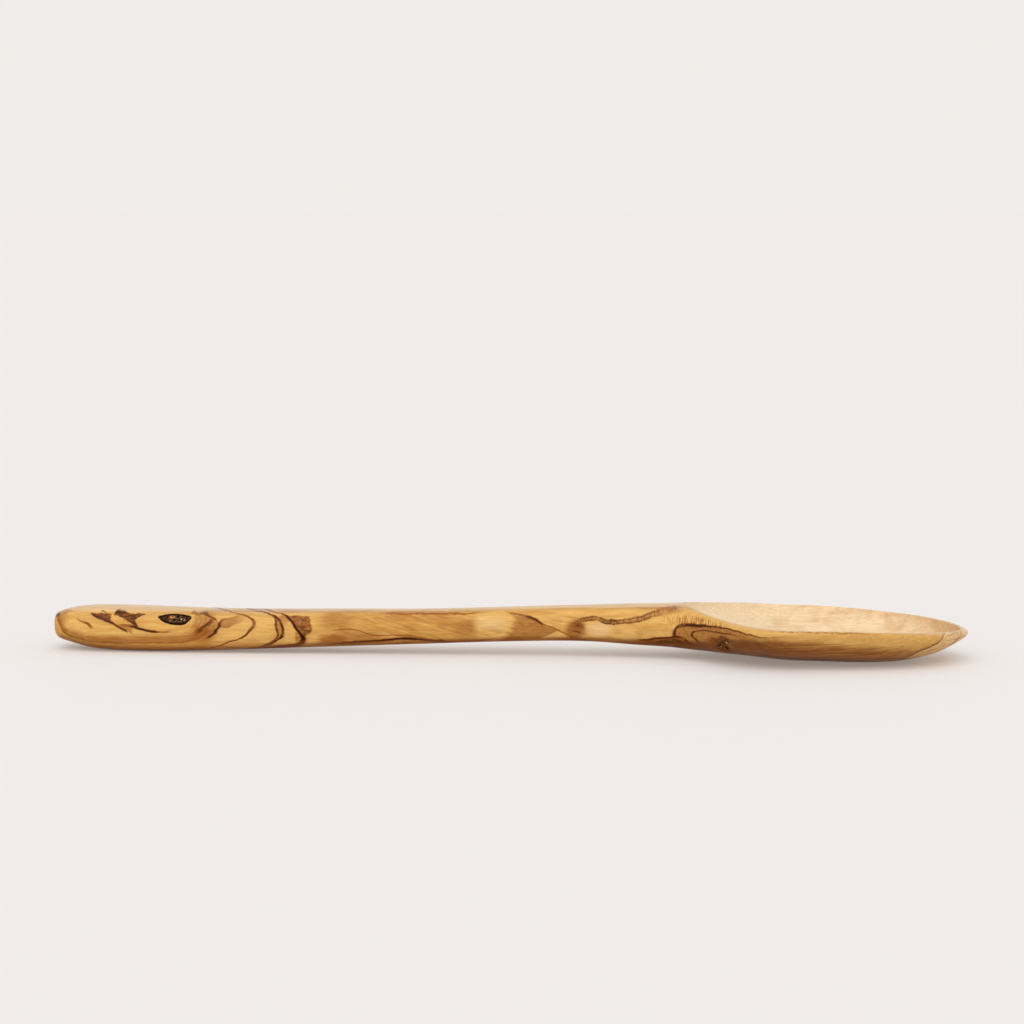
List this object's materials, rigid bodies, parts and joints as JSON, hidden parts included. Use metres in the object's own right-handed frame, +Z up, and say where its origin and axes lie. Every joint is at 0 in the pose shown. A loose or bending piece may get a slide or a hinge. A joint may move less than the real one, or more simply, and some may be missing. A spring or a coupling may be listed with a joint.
{
  "type": "wooden spoon",
  "caption": "Cooking spoon carved from one blank of olive wood, with an egg-shaped bowl, a slender waisted handle and a dead knot in its side.",
  "frame": {"origin": "on the table, under the middle of the spoon's length and width", "axes": "+X from the end of the handle to the tip of the bowl, +Z up, out of the open bowl"},
  "size_m": [0.3, 0.062, 0.0172],
  "materials": {
    "olive_wood": "oiled, satin",
    "knot_wood": "oiled, cracked end grain",
    "knot_bark": "matt, dark bark"
  },
  "bodies": {
    "root": {"carved_spoon": "olive_wood", "handle_knot": "knot_wood", "handle_knot_bark": "knot_bark", "neck_pin_knots": "knot_bark"}
  },
  "joints": []
}
